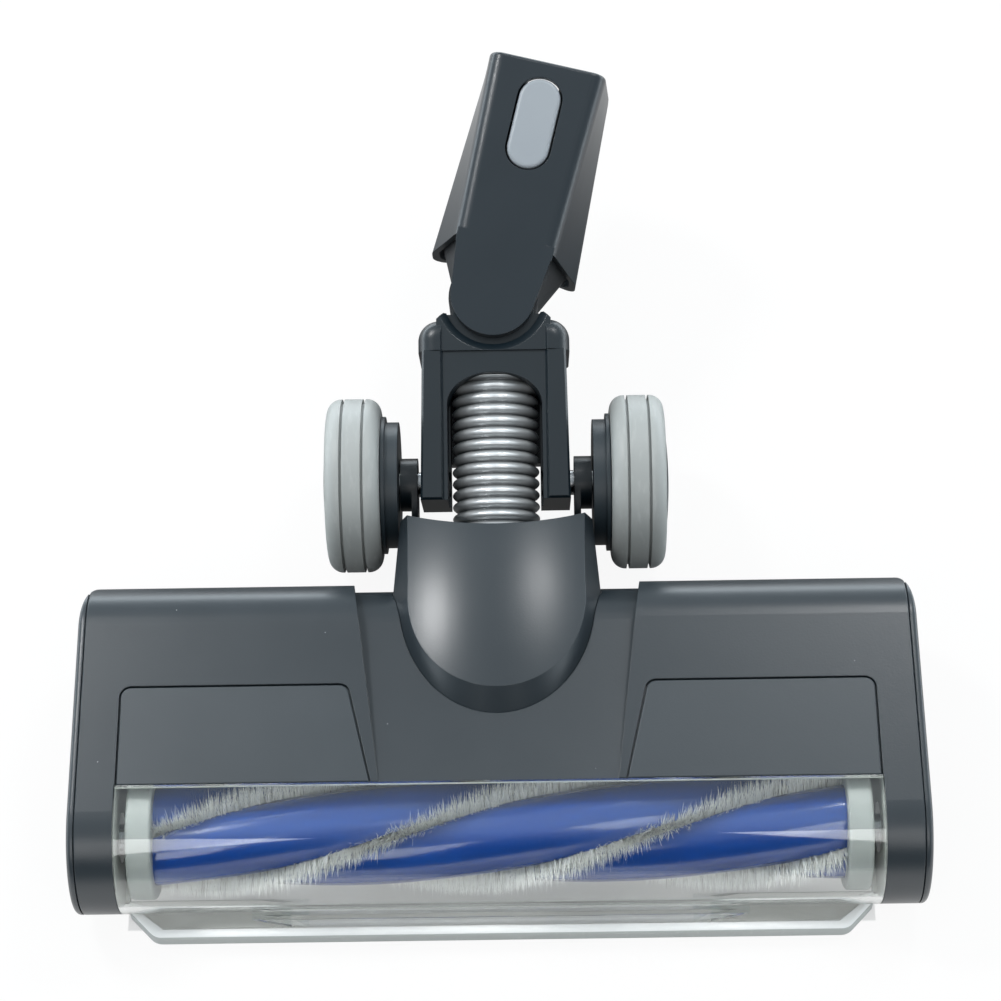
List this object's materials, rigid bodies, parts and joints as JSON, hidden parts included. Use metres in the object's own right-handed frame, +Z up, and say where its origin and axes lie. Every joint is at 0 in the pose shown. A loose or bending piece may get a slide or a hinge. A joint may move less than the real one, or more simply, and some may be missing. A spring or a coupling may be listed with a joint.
{
  "type": "vacuum floor brush head",
  "caption": "Powered vacuum floor head with a clear window over a twisted blue brush roller, ribbed hose, tilting neck, swivel wand socket and rear wheels.",
  "frame": {"origin": "centre of the bounding box, on the floor", "axes": "+X across the head to its right, +Y from the brush back to the socket, +Z up"},
  "size_m": [0.2536, 0.2788, 0.0909],
  "materials": {
    "housing": "satin charcoal",
    "panel": "matt charcoal",
    "base": "matt dark grey",
    "clear_window": "clear moulded plastic",
    "grey_bumper": "soft light grey",
    "lint_fabric": "short pile",
    "screw_steel": "zinc plated",
    "bearing_steel": "ground steel",
    "axle_steel": "ground steel",
    "motor_steel": "zinc plated can",
    "belt_rubber": "black belt",
    "inner_plastic": "matt black",
    "neck_plastic": "satin near black",
    "hub_plastic": "satin dark grey",
    "tyre_grey": "soft light grey",
    "roller_blue": "gloss blue",
    "bristle": "pale nylon bristles",
    "pale_plastic": "pale grey",
    "brass_pinion": "turned brass",
    "hose_rubber": "satin dark grey ribs",
    "socket_plastic": "satin charcoal",
    "core_plastic": "satin dark grey",
    "contact_brass": "plated contacts",
    "button_grey": "satin light grey"
  },
  "bodies": {
    "head": {"top_cover": "housing", "left_end_cap": "housing", "right_end_cap": "housing", "left_panel": "panel", "right_panel": "panel", "neck_hood": "housing", "base_plate": "base", "base_screws": "screw_steel", "lint_strip": "lint_fabric", "brush_window": "clear_window", "front_bumper": "grey_bumper", "left_bearing": "bearing_steel", "right_bearing": "bearing_steel", "drive_belt": "belt_rubber", "brush_motor": "motor_steel", "motor_saddle": "inner_plastic", "suction_duct": "inner_plastic", "left_pivot_bracket": "neck_plastic", "right_pivot_bracket": "neck_plastic", "bracket_screws": "screw_steel", "left_axle": "axle_steel", "right_axle": "axle_steel", "sole_roller_pins": "axle_steel"},
    "brush": {"roller_core": "roller_blue", "bristle_strips": "bristle", "left_roller_hub": "pale_plastic", "right_roller_hub": "pale_plastic", "roller_shaft": "axle_steel", "driven_pulley": "inner_plastic"},
    "motor_rotor": {"motor_pulley": "brass_pinion", "motor_shaft": "axle_steel"},
    "left_wheel": {"left_wheel_hub": "hub_plastic", "left_tyre": "tyre_grey", "left_hub_cap": "hub_plastic"},
    "right_wheel": {"right_wheel_hub": "hub_plastic", "right_tyre": "tyre_grey", "right_hub_cap": "hub_plastic"},
    "left_roller": {"left_sole_roller": "pale_plastic"},
    "right_roller": {"right_sole_roller": "pale_plastic"},
    "neck": {"neck_yoke": "neck_plastic", "neck_back_cover": "neck_plastic", "neck_screws": "screw_steel", "knuckle": "neck_plastic", "swing_pins": "axle_steel", "hose_collar": "inner_plastic", "ribbed_hose": "hose_rubber"},
    "socket": {"socket_shell": "socket_plastic", "swivel_core": "core_plastic", "contact_pins": "contact_brass", "rocker_pin": "socket_plastic"},
    "button": {"release_button": "button_grey"}
  },
  "joints": [
    {"name": "brush_spin", "type": "hinge", "parent": "head", "child": "brush", "pos_m": [0, -0.11347, 0.02], "axis": [1, 0, 0], "continuous": true},
    {"name": "motor_spin", "type": "hinge", "parent": "head", "child": "motor_rotor", "pos_m": [0, -0.06747, 0.024], "axis": [1, 0, 0], "continuous": true},
    {"name": "left_wheel_spin", "type": "hinge", "parent": "head", "child": "left_wheel", "pos_m": [-0.0446, 0.00213, 0.0275], "axis": [1, 0, 0], "continuous": true},
    {"name": "right_wheel_spin", "type": "hinge", "parent": "head", "child": "right_wheel", "pos_m": [0.0446, 0.00213, 0.0275], "axis": [1, 0, 0], "continuous": true},
    {"name": "left_roller_spin", "type": "hinge", "parent": "head", "child": "left_roller", "pos_m": [-0.062, -0.04747, 0.0048], "axis": [1, 0, 0], "continuous": true},
    {"name": "right_roller_spin", "type": "hinge", "parent": "head", "child": "right_roller", "pos_m": [0.062, -0.04747, 0.0048], "axis": [1, 0, 0], "continuous": true},
    {"name": "neck_pitch", "type": "hinge", "parent": "head", "child": "neck", "pos_m": [0, 0.00213, 0.0275], "axis": [1, 0, 0], "range_deg": [0, 69.5], "deforming": ["ribbed_hose"]},
    {"name": "socket_swing", "type": "hinge", "parent": "neck", "child": "socket", "pos_m": [0, 0.05646, 0.04781], "axis": [0, -0.3502, 0.9367], "range_deg": [-26, 54]},
    {"name": "button_rock", "type": "hinge", "parent": "socket", "child": "button", "pos_m": [0.01369, 0.10321, 0.0796], "axis": [0.9703, -0.2266, -0.0847], "range_deg": [0, 4], "stiffness_Nm_per_rad": 0.3}
  ],
  "couplings": [
    {"joint": "motor_spin", "follows": "brush_spin", "ratio": 1.9565}
  ]
}
